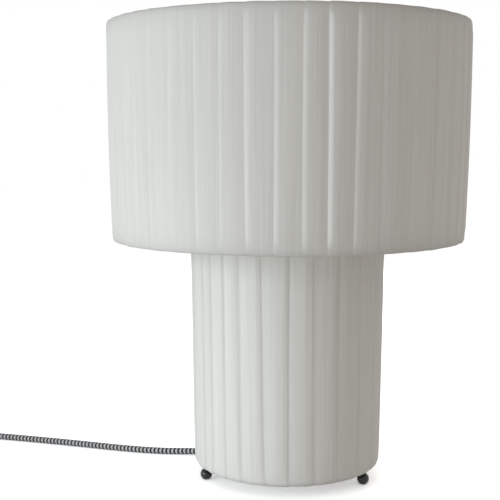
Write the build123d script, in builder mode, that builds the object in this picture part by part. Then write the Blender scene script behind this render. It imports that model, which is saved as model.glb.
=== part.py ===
"""Pleated table lamp: a wide drum shade on a pleated drum base with three ball feet.

Millimetres, +Z up, origin on the floor under the middle of the lamp. The front of the
lamp faces -Y, and its braided cord leaves the base at the left rear.
"""
from build123d import *
import math
import os

os.makedirs("parts", exist_ok=True)

# Shade and base, measured over the raised edges of the pleats
shade_top_diameter = 358.0
shade_bottom_diameter = 351.0
shade_bottom_height = 239.5
shade_top_height = 453.0
shade_pleats = 45
base_top_diameter = 195.0
base_bottom_diameter = 189.0
base_bottom_height = 11.8
base_top_height = 246.0
base_pleats = 24

# Cloth, stiff lining and the wire frames under them
pleat_step = 1.2
pleat_crown = 0.3
cloth_thickness = 1.6
lining_thickness = 0.8
layer_gap = 0.2
ring_wire = 6.0
upright_wire = 5.0
arm_wire = 4.0
upright_count = 6
arm_count = 3
first_upright_angle = 30.0
crown_angle = 20.0
crown_inner = 1.0
hem_end_angle = 50.0

# Ball feet on studs under the bottom ring
foot_diameter = 12.0
foot_flat_diameter = 5.0
foot_angles = {"left": 203.2, "right": 330.0, "rear": 86.6}
stud_diameter = 4.0
stud_depth = 6.0
stud_clearance = 0.1
eyelet_clearance = 0.4

# Cord, nipple and cord grip
cord_diameter = 6.8
cord_clearance = 0.15
nipple_wall = 1.25
nipple_clearance = 0.1
nipple_above_hub = 8.5
nipple_below_hub = 16.5
hub_diameter = 46.0
hub_thickness = 2.5
washer_diameter = 22.0
washer_thickness = 1.5
nut_across_flats = 14.0
nut_height = 4.0
grip_length = 24.0
grip_thread_length = 8.0
grip_diameter = 17.0
grip_tip_diameter = 11.0
grip_screw_diameter = 4.0
lead_wire_diameter = 2.4
lead_spread = 16.0

# Lampholder and the two parts of it that clamp the shade
cap_neck_diameter = 18.0
cap_neck_height = 9.0
cap_dome_height = 9.0
cap_rim_height = 6.0
cap_wall = 1.6
shell_diameter = 38.8
shell_top_above_hub = 58.0
thread_clearance = 0.2
shoulder_diameter = 50.0
shoulder_height = 3.0
shoulder_above_rim = 1.5
core_diameter = 34.4
core_height = 10.0
core_clearance = 0.2
sleeve_diameter = 29.0
sleeve_wall = 0.6
sleeve_height = 20.0
contact_width = 6.0
contact_thickness = 0.8
contact_rise = 4.0
contact_span = 15.0
fitter_diameter = 56.0
fitter_thickness = 2.0
clamp_ring_diameter = 52.0
clamp_ring_height = 8.0
clamp_ring_notches = 24
clamp_ring_notch = 2.0

# Screw-in bulb
bulb_length = 105.0
bulb_diameter = 60.0
bulb_neck_diameter = 24.4
bulb_shoulder_angle = 40.0
bulb_glass_wall = 0.8
bulb_cap_diameter = 26.2
bulb_cap_wall = 0.4
bulb_cap_height = 22.0
bulb_insulator_height = 4.5
bulb_contact_diameter = 9.0
bulb_contact_height = 1.2
bulb_contact_pin = 4.0
bulb_contact_gap = 0.3
bulb_stem_diameter = 5.0
bulb_stem_flare = 22.0
bulb_stem_height = 66.0
bulb_disc_diameter = 15.0
bulb_disc_thickness = 1.0
filament_diameter = 1.8
filament_length = 34.0
filament_count = 4

# Switch on the cord
switch_length = 60.0
switch_width = 24.0
switch_height = 18.0
switch_split = 8.0
switch_wall = 1.8
switch_corner = 7.0
switch_edge = 1.6
switch_cord_depth = 6.0
switch_center_y = 12.0
rocker_length = 17.6
rocker_width = 10.8
rocker_clearance = 0.5
rocker_tilt = 8.0
rocker_pivot_drop = 3.0
rocker_rise = 3.2
rocker_dip = 1.6
rocker_keel = 3.0
rocker_pin_diameter = 2.4
rocker_pin_length = 1.4
rocker_pin_clearance = 0.1
cheek_thickness = 2.2
cheek_depth = 6.0
terminal_length = 9.0
terminal_width = 7.0
terminal_height = 5.0
terminal_offset = 15.0
bridge_length = 40.0
bridge_width = 3.0
bridge_thickness = 0.8
switch_screw_diameter = 3.0
switch_screw_head = 5.5
switch_screw_length = 13.0
switch_screw_x = 7.5
switch_screw_y = 22.0
screw_clearance = 0.1

# Coil of the spare cord and its tie
coil_radius = 48.0
coil_turns_in = 2.0
coil_turns_out = 1.5
coil_gap = 0.6
tail_level = 25.0
coil_center_y = -57.0
tie_thickness = 1.2
tie_width = 10.0
tie_clearance = 0.5
tie_angle = -40.0

# Two-pin plug
plug_width = 35.0
plug_tail_width = 15.0
plug_thickness = 14.0
plug_length = 22.0
plug_shoulder = 8.0
plug_edge = 2.5
plug_relief_length = 20.0
plug_relief_diameter = 12.0
plug_relief_tip = 9.2
plug_cord_depth = 5.0
relief_grooves = 4
relief_groove_start = 6.5
relief_groove_pitch = 3.0
relief_groove_width = 1.5
relief_groove_floor = 8.6
plug_offset_x = -2.0
plug_start_y = -123.0
pin_diameter = 4.0
pin_length = 19.0
pin_spacing = 19.0
pin_seat = 6.0
pin_clearance = 0.05

# Route of the cord from the grip to the switch, after its first point
cord_route = [
    (0.0, 0.0, 172.0),
    (2.0, 4.0, 118.0),
    (0.0, 11.0, 70.0),
    (-8.0, 21.0, 34.0),
    (-29.0, 32.0, 11.0),
    (-58.0, 41.0, 4.6),
    (-92.0, 45.5, 4.0),
    (-128.0, 45.2, 3.6),
    (-162.0, 50.5, 3.5),
    (-200.0, 61.0, 3.5),
    (-245.0, 74.4, 3.5),
    (-290.0, 86.4, 3.5),
    (-334.0, 97.2, 3.5),
    (-377.0, 105.5, 3.9),
    (-404.5, 90.5, 5.8),
]
switch_x = -415.0
last_run = 28.0


def at_angle(radius, angle, height):
    """Point at a radius and an angle about the lamp's axis."""
    turn = math.radians(angle)
    return Vector(radius * math.cos(turn), radius * math.sin(turn), height)


def export(piece, name):
    """Label a finished piece and write it."""
    piece.part.label = name
    export_step(piece.part, f"parts/{name}.step")


def turned(points, mode=Mode.ADD):
    """Turn a closed outline of (radius, height) points about the lamp's axis."""
    with BuildSketch(Plane.XZ) as outline:
        with BuildLine():
            Polyline(*points, close=True)
        make_face()
    revolve(outline.sketch, axis=Axis.Z, mode=mode)


class Drum:
    """One pleated drum: where its rings, lining and cloth lie, worked out from its outside."""

    def __init__(self, bottom_diameter, top_diameter, bottom_height, top_height):
        self.lining_inner = ring_wire / 2 + layer_gap
        self.lining_outer = self.lining_inner + lining_thickness
        self.cloth_inner = self.lining_outer + layer_gap
        self.lip = self.cloth_inner + cloth_thickness + pleat_step
        crown = self.lip * math.cos(math.radians(crown_angle))
        self.bottom_height = bottom_height
        self.top_height = top_height
        self.low = (bottom_diameter / 2 - self.lip, bottom_height + crown)
        self.high = (top_diameter / 2 - self.lip, top_height - crown)

    def ring(self, place):
        """Wire ring that stiffens one end of the drum."""
        with BuildSketch(Plane.XZ) as section:
            with Locations(place):
                Circle(ring_wire / 2)
        revolve(section.sketch, axis=Axis.Z)

    def lining(self):
        """Stiff sheet rolled into a tube between the two rings."""
        turned([
            (self.low[0] + self.lining_inner, self.low[1]),
            (self.low[0] + self.lining_outer, self.low[1]),
            (self.high[0] + self.lining_outer, self.high[1]),
            (self.high[0] + self.lining_inner, self.high[1]),
        ])

    def lip_sections(self):
        """Outer radius and height of the cloth from its lower crown to its upper crown."""
        angles = [crown_angle, 45.0, 70.0, 90.0]
        turns = [math.radians(angle) for angle in angles]
        lower = [(self.low[0] + self.lip * math.sin(t), self.low[1] - self.lip * math.cos(t)) for t in turns]
        upper = [(self.high[0] + self.lip * math.sin(t), self.high[1] + self.lip * math.cos(t)) for t in turns]
        return lower + upper[::-1]

    def pleats(self, count, first_edge, raised_first):
        """Solid drum with knife pleats, rolled over the rings at both ends."""
        pitch = 360 / count
        sections = []
        for radius, height in self.lip_sections():
            start, end = radius, radius - pleat_step
            if not raised_first:
                start, end = end, start
            middle = (start + end) / 2 + pleat_crown
            with BuildSketch(Plane.XY.offset(height)) as outline:
                with BuildLine():
                    for pleat in range(count):
                        left = first_edge + pleat * pitch
                        right = left + pitch
                        ThreePointArc(
                            at_angle(start, left, 0),
                            at_angle(middle, (left + right) / 2, 0),
                            at_angle(end, right, 0),
                        )
                        Line(at_angle(end, right, 0), at_angle(start, right, 0))
                make_face()
            sections.append(outline.sketch)
        loft(sections, ruled=True)

    def hollow(self):
        """Cut the inside out of the pleated drum, with a turned hem round each ring."""
        hem_outer = self.lining_inner + cloth_thickness
        room = cloth_thickness
        cosine = math.cos(math.radians(hem_end_angle))
        sine = math.sin(math.radians(hem_end_angle))
        slope = math.sqrt(0.5)

        def end_points(place, edge, way):
            """Points of one hem, from the axis outwards to the wall."""
            radius, height = place
            return {
                "axis": (0, edge + way * room),
                "rim": (radius - crown_inner, edge + way * room),
                "crown": (radius - crown_inner, edge),
                "hem_outer": (radius - hem_outer * cosine, height + way * hem_outer * sine),
                "hem_inner": (radius - self.lining_inner * cosine, height + way * self.lining_inner * sine),
                "over_ring": (radius, height + way * self.lining_inner),
                "bend": (radius + self.cloth_inner * slope, height + way * self.lining_inner * slope),
                "wall": (radius + self.cloth_inner, height),
            }

        top = end_points(self.high, self.top_height, 1)
        bottom = end_points(self.low, self.bottom_height, -1)
        with BuildSketch(Plane.XZ) as inside:
            with BuildLine():
                Polyline(*[top[key] for key in ("axis", "rim", "crown", "hem_outer", "hem_inner")])
                Line(top["hem_inner"], top["over_ring"])
                ThreePointArc(top["over_ring"], top["bend"], top["wall"])
                Line(top["wall"], bottom["wall"])
                ThreePointArc(bottom["wall"], bottom["bend"], bottom["over_ring"])
                Line(bottom["over_ring"], bottom["hem_inner"])
                Polyline(*[bottom[key] for key in ("hem_inner", "hem_outer", "crown", "rim", "axis")])
                Line(bottom["axis"], top["axis"])
            make_face()
        revolve(inside.sketch, axis=Axis.Z, mode=Mode.SUBTRACT)


def wire(start, end, diameter):
    """Straight round wire between two points."""
    start, end = Vector(start), Vector(end)
    with BuildSketch(Plane(origin=start, z_dir=end - start)) as section:
        Circle(diameter / 2)
    extrude(section.sketch, amount=(end - start).length)


shade = Drum(shade_bottom_diameter, shade_top_diameter, shade_bottom_height, shade_top_height)
base = Drum(base_bottom_diameter, base_top_diameter, base_bottom_height, base_top_height)

# Heights up the middle of the lamp, from the hub of the base to the bulb
hub_bottom = base.high[1] - hub_thickness / 2
hub_top = hub_bottom + hub_thickness
nipple_bore = cord_diameter + 2 * cord_clearance
nipple_diameter = nipple_bore + 2 * nipple_wall
hub_hole = nipple_diameter + 2 * nipple_clearance
nipple_bottom = hub_bottom - nipple_below_hub
nipple_top = hub_top + nipple_above_hub
washer_bottom = hub_bottom - washer_thickness
nut_bottom = washer_bottom - nut_height
grip_top = nipple_bottom + grip_thread_length
grip_bottom = grip_top - grip_length
cap_rim_bottom = hub_top + cap_neck_height + cap_dome_height
cap_top = cap_rim_bottom + cap_rim_height
shoulder_bottom = cap_top + shoulder_above_rim
shoulder_top = shoulder_bottom + shoulder_height
fitter_top = shoulder_top + fitter_thickness
core_bottom = cap_rim_bottom
core_top = core_bottom + core_height
shell_top = hub_top + shell_top_above_hub
contact_top = core_top + contact_rise
bulb_bottom = contact_top + bulb_contact_gap

# Wire frame of the base
with BuildPart() as base_bottom_ring:
    base.ring(base.low)
export(base_bottom_ring, "base_bottom_ring")

with BuildPart() as base_top_ring:
    base.ring(base.high)
export(base_top_ring, "base_top_ring")

upright_angles = [first_upright_angle + 360 / upright_count * k for k in range(upright_count)]
arm_angles = [first_upright_angle + 360 / arm_count * k for k in range(arm_count)]

with BuildPart() as base_uprights:
    for angle in upright_angles:
        wire(at_angle(base.low[0], angle, base.low[1]), at_angle(base.high[0], angle, base.high[1]), upright_wire)
    add(base_bottom_ring.part, mode=Mode.SUBTRACT)
    add(base_top_ring.part, mode=Mode.SUBTRACT)
export(base_uprights, "base_uprights")

with BuildPart() as base_spider:
    with BuildSketch(Plane.XY.offset(hub_bottom)):
        Circle(hub_diameter / 2)
    extrude(amount=hub_thickness)
    for angle in arm_angles:
        wire(at_angle(hub_diameter / 4, angle, base.high[1]), at_angle(base.high[0], angle, base.high[1]), arm_wire)
    with BuildSketch(Plane.XY.offset(hub_bottom - arm_wire)):
        Circle(washer_diameter / 2 + layer_gap)
    extrude(amount=arm_wire, mode=Mode.SUBTRACT)
    with BuildSketch(Plane.XY.offset(hub_top)):
        Circle(washer_diameter / 2 + layer_gap)
    extrude(amount=arm_wire, mode=Mode.SUBTRACT)
    with Locations((0, 0, base.high[1])):
        Hole(hub_hole / 2)
    add(base_top_ring.part, mode=Mode.SUBTRACT)
    add(base_uprights.part, mode=Mode.SUBTRACT)
export(base_spider, "base_spider")

# Ball feet: black balls with a small flat, each on a stud that hangs from the bottom ring
foot_radius = foot_diameter / 2
foot_center = math.sqrt(foot_radius ** 2 - (foot_flat_diameter / 2) ** 2)
stud_bottom = foot_center + foot_radius - stud_depth

with BuildPart() as foot_studs:
    for angle in foot_angles.values():
        wire(at_angle(base.low[0], angle, stud_bottom), at_angle(base.low[0], angle, base.low[1]), stud_diameter)
    add(base_bottom_ring.part, mode=Mode.SUBTRACT)
export(foot_studs, "foot_studs")

for side, angle in foot_angles.items():
    foot_place = at_angle(base.low[0], angle, foot_center)
    with BuildPart() as foot:
        with Locations(foot_place):
            Sphere(foot_radius)
        split(bisect_by=Plane.XY, keep=Keep.TOP)
        with BuildSketch(Plane(origin=at_angle(base.low[0], angle, stud_bottom))):
            Circle(stud_diameter / 2 + stud_clearance)
        extrude(amount=foot_diameter, mode=Mode.SUBTRACT)
    export(foot, f"ball_foot_{side}")

# Lining and pleated cloth of the base; each pleat's raised edge is on its right
with BuildPart() as base_lining:
    base.lining()
export(base_lining, "base_lining")

with BuildPart() as base_cover:
    base.pleats(base_pleats, first_edge=270.0, raised_first=False)
    base.hollow()
    for angle in foot_angles.values():
        with BuildSketch(Plane(origin=at_angle(base.low[0], angle, 0))):
            Circle(stud_diameter / 2 + eyelet_clearance)
        extrude(amount=base.low[1], mode=Mode.SUBTRACT)
export(base_cover, "base_cover")

# Threaded nipple through the hub, with its washer, nut and cord grip
with BuildPart() as nipple:
    with BuildSketch(Plane.XY.offset(nipple_bottom)):
        Circle(nipple_diameter / 2)
        Circle(nipple_bore / 2, mode=Mode.SUBTRACT)
    extrude(amount=nipple_top - nipple_bottom)
export(nipple, "nipple")

with BuildPart() as hub_washer:
    with BuildSketch(Plane.XY.offset(washer_bottom)):
        Circle(washer_diameter / 2)
        Circle(hub_hole / 2, mode=Mode.SUBTRACT)
    extrude(amount=washer_thickness)
export(hub_washer, "hub_washer")

with BuildPart() as nipple_nut:
    with BuildSketch(Plane.XY.offset(nut_bottom)):
        RegularPolygon(nut_across_flats / 2, 6, major_radius=False)
        Circle(hub_hole / 2, mode=Mode.SUBTRACT)
    extrude(amount=nut_height)
export(nipple_nut, "nipple_nut")

grip_screw_height = nipple_bottom - grip_screw_diameter

with BuildPart() as cord_grip:
    turned([
        (cord_diameter / 2 + cord_clearance, grip_bottom),
        (grip_tip_diameter / 2, grip_bottom),
        (grip_diameter / 2, nipple_bottom - 2 * grip_screw_diameter),
        (grip_diameter / 2, grip_top),
        (hub_hole / 2, grip_top),
        (hub_hole / 2, nipple_bottom - layer_gap),
        (cord_diameter / 2 + cord_clearance, nipple_bottom - layer_gap),
    ])
    with BuildSketch(Plane(origin=(0, 0, grip_screw_height), z_dir=(0, -1, 0))):
        Circle(grip_screw_diameter / 2 + screw_clearance)
    extrude(amount=grip_diameter, mode=Mode.SUBTRACT)
export(cord_grip, "cord_grip")

with BuildPart() as grip_screw:
    screw_start = (0, -cord_diameter / 2 - cord_clearance, grip_screw_height)
    with BuildSketch(Plane(origin=screw_start, z_dir=(0, -1, 0))):
        Circle(grip_screw_diameter / 2)
    extrude(amount=grip_diameter / 2 - cord_diameter / 2)
    with BuildSketch(Plane(origin=(0, -grip_diameter / 2, grip_screw_height), z_dir=(0, -1, 0))):
        Rectangle(grip_screw_diameter, contact_thickness)
    extrude(amount=-1, both=True, mode=Mode.SUBTRACT)
export(grip_screw, "grip_screw")

# Lampholder: cap, insulating core, threaded shell, screw sleeve and centre contact
cap_radius = shell_diameter / 2 + thread_clearance + cap_wall
neck_radius = cap_neck_diameter / 2

with BuildPart() as holder_cap:
    turned([
        (hub_hole / 2, hub_top),
        (neck_radius, hub_top),
        (neck_radius, hub_top + cap_neck_height),
        (cap_radius, cap_rim_bottom),
        (cap_radius, cap_top),
        (cap_radius - cap_wall, cap_top),
        (cap_radius - cap_wall, cap_rim_bottom),
        (core_diameter / 2 - cap_wall, cap_rim_bottom),
        (neck_radius - cap_wall, hub_top + cap_neck_height + cap_wall),
        (hub_hole / 2, hub_top + cap_neck_height),
    ])
    fillet(edges().filter_by(GeomType.CIRCLE).group_by(SortBy.RADIUS)[-1].sort_by(Axis.Z)[0], cap_wall)
export(holder_cap, "holder_cap")

with BuildPart() as holder_core:
    with BuildSketch(Plane.XY.offset(core_bottom)):
        Circle(core_diameter / 2)
        with Locations((lead_spread / 2, 0), (-lead_spread / 2, 0)):
            Circle(lead_wire_diameter / 2 + core_clearance, mode=Mode.SUBTRACT)
    extrude(amount=core_height)
export(holder_core, "holder_core")

with BuildPart() as holder_shell:
    turned([
        (core_diameter / 2 + core_clearance, core_bottom + core_clearance),
        (shell_diameter / 2, core_bottom + core_clearance),
        (shell_diameter / 2, shoulder_bottom),
        (shoulder_diameter / 2, shoulder_bottom),
        (shoulder_diameter / 2, shoulder_top),
        (shell_diameter / 2, shoulder_top),
        (shell_diameter / 2, shell_top),
        (sleeve_diameter / 2 + core_clearance, shell_top),
        (sleeve_diameter / 2 + core_clearance, core_top),
        (core_diameter / 2 + core_clearance, core_top),
    ])
    fillet(edges().filter_by(GeomType.CIRCLE).sort_by(Axis.Z)[-1], cap_wall / 2)
export(holder_shell, "holder_shell")

with BuildPart() as screw_sleeve:
    with BuildSketch(Plane.XY.offset(core_top)):
        Circle(sleeve_diameter / 2)
        Circle(sleeve_diameter / 2 - sleeve_wall, mode=Mode.SUBTRACT)
    extrude(amount=sleeve_height)
export(screw_sleeve, "screw_sleeve")

with BuildPart() as centre_contact:
    half_span = contact_span / 2
    with BuildSketch(Plane.XZ):
        with BuildLine():
            Line((-half_span, core_top), (half_span, core_top))
            Line((half_span, core_top), (half_span, core_top + contact_thickness))
            Polyline(
                (half_span, core_top + contact_thickness),
                (-half_span / 3, core_top + contact_thickness),
                (half_span / 3, contact_top - contact_thickness),
                (half_span / 3, contact_top),
                (-half_span / 3, contact_top),
                (-half_span, core_top + contact_thickness),
                (-half_span, core_top),
            )
        make_face()
    extrude(amount=contact_width / 2, both=True)
export(centre_contact, "centre_contact")

with BuildPart() as holder_leads:
    for way in (1, -1):
        lead_x = way * lead_wire_diameter * 0.6
        with BuildLine() as lead_line:
            FilletPolyline(
                (lead_x, 0, nipple_bottom),
                (lead_x, 0, nipple_top + lead_wire_diameter),
                (way * lead_spread / 2, 0, core_bottom - lead_wire_diameter),
                (way * lead_spread / 2, 0, core_bottom + core_height / 2),
                radius=lead_wire_diameter,
            )
        with BuildSketch(Plane(origin=lead_line.line @ 0, z_dir=lead_line.line % 0)):
            Circle(lead_wire_diameter / 2)
        sweep(path=lead_line.line)
export(holder_leads, "holder_leads")

# Wire frame of the shade: two rings, and a fitter ring on three arms from the lower one
with BuildPart() as shade_top_ring:
    shade.ring(shade.high)
export(shade_top_ring, "shade_top_ring")

with BuildPart() as shade_bottom_ring:
    shade.ring(shade.low)
export(shade_bottom_ring, "shade_bottom_ring")

fitter_hole = shell_diameter + 2 * thread_clearance

with BuildPart() as shade_spider:
    fitter_middle = (shoulder_top + fitter_top) / 2
    for angle in arm_angles:
        wire(
            at_angle(fitter_diameter / 2 - arm_wire / 2, angle, fitter_middle),
            at_angle(shade.low[0], angle, shade.low[1]),
            arm_wire,
        )
    with BuildSketch(Plane.XY.offset(shoulder_top - clamp_ring_height)):
        Circle(shoulder_diameter / 2 + layer_gap)
    extrude(amount=3 * clamp_ring_height, mode=Mode.SUBTRACT)
    with BuildSketch(Plane.XY.offset(shoulder_top)):
        Circle(fitter_diameter / 2)
        Circle(fitter_hole / 2, mode=Mode.SUBTRACT)
    extrude(amount=fitter_thickness)
    with BuildSketch(Plane.XY.offset(fitter_top)):
        Circle(clamp_ring_diameter / 2 + layer_gap)
    extrude(amount=clamp_ring_height, mode=Mode.SUBTRACT)
    add(shade_bottom_ring.part, mode=Mode.SUBTRACT)
export(shade_spider, "shade_spider")

with BuildPart() as clamp_ring:
    with BuildSketch(Plane.XY.offset(fitter_top)):
        Circle(clamp_ring_diameter / 2)
        Circle(fitter_hole / 2, mode=Mode.SUBTRACT)
        with PolarLocations(clamp_ring_diameter / 2 + clamp_ring_notch / 3, clamp_ring_notches):
            Circle(clamp_ring_notch / 2, mode=Mode.SUBTRACT)
    extrude(amount=clamp_ring_height)
export(clamp_ring, "clamp_ring")

# Lining and pleated cloth of the shade; each pleat's raised edge is on its left
with BuildPart() as shade_lining:
    shade.lining()
export(shade_lining, "shade_lining")

with BuildPart() as shade_cover:
    shade.pleats(shade_pleats, first_edge=270.0 + 180 / shade_pleats, raised_first=True)
    shade.hollow()
export(shade_cover, "shade_cover")

# Bulb: glass, screw cap, insulator, contact, glass stem and four lit rods
ball_radius = bulb_diameter / 2
ball_center = bulb_bottom + bulb_length - ball_radius
cap_bottom = bulb_bottom + bulb_contact_height + bulb_insulator_height
glass_bottom = cap_bottom + bulb_cap_height / 2


def bulb_body(inset):
    """Half outline of a round bulb on a straight neck that flares smoothly into the ball."""
    neck = bulb_neck_diameter / 2 - inset
    ball = ball_radius - inset
    shoulder = math.radians(bulb_shoulder_angle)
    meet = (ball * math.cos(shoulder), ball_center - ball * math.sin(shoulder))
    flare_start = meet[1] - (meet[0] - neck) / math.tan(shoulder / 2)
    with BuildSketch(Plane.XZ) as outline:
        with BuildLine():
            Line((0, glass_bottom), (neck, glass_bottom))
            Line((neck, glass_bottom), (neck, flare_start))
            TangentArc((neck, flare_start), meet, tangent=(0, 1))
            ThreePointArc(meet, (ball, ball_center), (0, ball_center + ball))
            Line((0, ball_center + ball), (0, glass_bottom))
        make_face()
    return outline.sketch


with BuildPart() as bulb_glass:
    revolve(bulb_body(0), axis=Axis.Z)
    revolve(bulb_body(bulb_glass_wall), axis=Axis.Z, mode=Mode.SUBTRACT)
export(bulb_glass, "bulb_glass")

with BuildPart() as bulb_cap:
    with BuildSketch(Plane.XY.offset(cap_bottom)):
        Circle(bulb_cap_diameter / 2)
        Circle(bulb_cap_diameter / 2 - bulb_cap_wall, mode=Mode.SUBTRACT)
    extrude(amount=bulb_cap_height)
export(bulb_cap, "bulb_cap")

insulator_bottom = bulb_bottom + bulb_contact_height

with BuildPart() as bulb_insulator:
    turned([
        (bulb_contact_pin / 2 + stud_clearance, insulator_bottom),
        (bulb_contact_diameter / 2 + bulb_contact_height, insulator_bottom),
        (bulb_cap_diameter / 2 - bulb_cap_wall, cap_bottom),
        (bulb_cap_diameter / 2 - bulb_cap_wall, cap_bottom + bulb_contact_height),
        (bulb_contact_pin / 2 + stud_clearance, cap_bottom + bulb_contact_height),
    ])
export(bulb_insulator, "bulb_insulator")

with BuildPart() as bulb_contact:
    turned([
        (0, bulb_bottom),
        (bulb_contact_diameter / 4, bulb_bottom),
        (bulb_contact_diameter / 2, insulator_bottom - bulb_contact_height / 2),
        (bulb_contact_diameter / 2, insulator_bottom - layer_gap / 2),
        (bulb_contact_pin / 2, insulator_bottom - layer_gap / 2),
        (bulb_contact_pin / 2, cap_bottom),
        (0, cap_bottom),
    ])
export(bulb_contact, "bulb_contact")

flare_radius = bulb_stem_flare / 2
stem_radius = bulb_stem_diameter / 2
disc_radius = bulb_disc_diameter / 2
stem_top = glass_bottom + bulb_stem_height
upper_disc = stem_top - bulb_disc_thickness
lower_disc = upper_disc - filament_length - bulb_disc_thickness

with BuildPart() as bulb_stem:
    turned([
        (0, glass_bottom),
        (flare_radius, glass_bottom),
        (flare_radius, glass_bottom + bulb_disc_thickness),
        (stem_radius, glass_bottom + flare_radius),
        (stem_radius, lower_disc),
        (disc_radius, lower_disc),
        (disc_radius, lower_disc + bulb_disc_thickness),
        (stem_radius, lower_disc + bulb_disc_thickness),
        (stem_radius / 2, upper_disc),
        (disc_radius, upper_disc),
        (disc_radius, stem_top),
        (0, stem_top),
    ])
export(bulb_stem, "bulb_stem")

with BuildPart() as bulb_filaments:
    with BuildSketch(Plane.XY.offset(lower_disc + bulb_disc_thickness)):
        with PolarLocations(disc_radius - filament_diameter, filament_count):
            Circle(filament_diameter / 2)
    extrude(amount=filament_length)
export(bulb_filaments, "bulb_filaments")

# Free stretch of the cord: down from the grip, under the rim and along the floor to the switch
cord_radius = cord_diameter / 2
switch_end = switch_center_y + switch_length / 2
cord_points = [Vector(0, 0, nipple_bottom - layer_gap)]
cord_points += [Vector(*point) for point in cord_route]
cord_points += [
    Vector(switch_x, switch_end - switch_cord_depth + last_run, switch_split),
    Vector(switch_x, switch_end - switch_cord_depth, switch_split),
]
corner_radii = []
for before, corner, after in zip(cord_points, cord_points[1:], cord_points[2:]):
    arriving = corner - before
    leaving = after - corner
    half_turn = math.radians(arriving.get_angle(leaving)) / 2
    corner_radii.append(0.45 * min(arriving.length, leaving.length) / math.tan(half_turn))

with BuildPart() as cord_lead:
    with BuildLine() as lead_path:
        FilletPolyline(*cord_points, radius=corner_radii)
    with BuildSketch(Plane(origin=lead_path.line @ 0, z_dir=lead_path.line % 0)):
        Circle(cord_radius)
    sweep(path=lead_path.line)
export(cord_lead, "cord_lead")
lead_length = sum(edge.length for edge in lead_path.line.edges())
print("cord lead radii, mm:", [round(radius, 1) for radius in corner_radii])
print("cord lead length, mm:", round(lead_length, 1))
print("cord lead volume over section times length:",
      round(cord_lead.part.volume / (math.pi * cord_radius ** 2 * lead_length), 4))

# Spare cord: two layers of loops that spiral in on the floor and out again on top
coil_pitch = cord_diameter + coil_gap
coil_low = tie_thickness + tie_clearance + cord_radius
coil_high = coil_low + coil_pitch
coil_center_x = switch_x + coil_radius
coil_inner = coil_radius - coil_turns_in * coil_pitch
quarters_in = round(4 * coil_turns_in)
quarters_out = round(4 * coil_turns_out)
quarter_pitch = coil_pitch / 4


def coil_station(step, radius, height, inward, climb):
    """Point and direction on the coil after so many quarter turns from its left side."""
    angle = math.radians(180 + 90 * step)
    outward = Vector(math.cos(angle), math.sin(angle), 0)
    along = Vector(-math.sin(angle), math.cos(angle), 0)
    place = Vector(coil_center_x, coil_center_y, height) + outward * radius
    quarter_length = radius * math.pi / 2
    heading = along * quarter_length - outward * inward + Vector(0, 0, climb)
    return place, heading.normalized()


switch_exit = switch_center_y - switch_length / 2
plug_x = switch_x + plug_offset_x
stations = [
    (Vector(switch_x, switch_exit + switch_cord_depth, switch_split), Vector(0, -1, 0)),
    (Vector(switch_x, switch_exit - cord_diameter, switch_split), Vector(0, -1, 0)),
]
stations.append(coil_station(0, coil_radius, coil_low, 0, 0))
for step in range(1, quarters_in + 1):
    stations.append(coil_station(step, coil_radius - step * quarter_pitch, coil_low, quarter_pitch, 0))
stations.append(coil_station(
    quarters_in + 1, coil_inner - quarter_pitch / 2, (coil_low + coil_high) / 2, 0, 0.75 * coil_pitch))
for step in range(quarters_out):
    stations.append(coil_station(
        quarters_in + 2 + step, coil_inner + step * quarter_pitch, coil_high, -quarter_pitch, 0))
coil_outer_top = coil_inner + quarters_out * quarter_pitch
stations.append(coil_station(quarters_in + 2 + quarters_out, coil_outer_top, coil_high, 0, 0))
stations.append((Vector(switch_x, coil_center_y - tail_level, coil_high), Vector(0, -1, 0)))
tail_start = Vector(plug_x, plug_start_y + cord_diameter, plug_thickness / 2)
stations.append((tail_start, Vector(0, -1, 0)))
stations.append((Vector(plug_x, plug_start_y - plug_cord_depth, plug_thickness / 2), Vector(0, -1, 0)))


def biarc(start, start_way, end, end_way):
    """Two tangent arcs, or one line, between two points with given directions."""
    span = end - start
    square = 2 * (1 - start_way.dot(end_way))
    linear = 2 * span.dot(start_way + end_way)
    constant = -span.dot(span)
    if square < 1e-9:
        reach = -constant / linear
    else:
        reach = (-linear + math.sqrt(linear ** 2 - 4 * square * constant)) / (2 * square)
    first_knee = start + start_way * reach
    second_knee = end - end_way * reach
    middle = (first_knee + second_knee) * 0.5
    if (start_way - (middle - start).normalized()).length < 1e-6:
        return [Line(start, end)]
    middle_way = (second_knee - first_knee).normalized()
    return [TangentArc(start, middle, tangent=start_way), TangentArc(middle, end, tangent=middle_way)]


coil_edges = []
with BuildPart() as cord_coil:
    with BuildLine() as coil_path:
        for (start, start_way), (end, end_way) in zip(stations, stations[1:]):
            coil_edges += biarc(start, start_way, end, end_way)
    with BuildSketch(Plane(origin=stations[0][0], z_dir=stations[0][1])):
        Circle(cord_radius)
    sweep(path=coil_path.line)
export(cord_coil, "cord_coil")

coil_length = sum(edge.length for edge in coil_edges)
sample_spacing = cord_radius / 2
coil_samples = []
travelled = 0.0
for edge in coil_edges:
    count = max(2, round(edge.length / sample_spacing))
    for index in range(count):
        share = index / count
        coil_samples.append((travelled + share * edge.length, edge @ share))
    travelled += edge.length
least_gap = min(
    (here - there).length - cord_diameter
    for position, here in coil_samples
    for other, there in coil_samples
    if other - position > 4 * cord_diameter
)
print("cord coil length, mm:", round(coil_length, 1))
print("cord coil volume over section times length:",
      round(cord_coil.part.volume / (math.pi * cord_radius ** 2 * coil_length), 4))
print("cord coil least gap to itself, mm:", round(least_gap, 2))
print("whole cord, mm:", round(lead_length + coil_length, 1))

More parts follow.
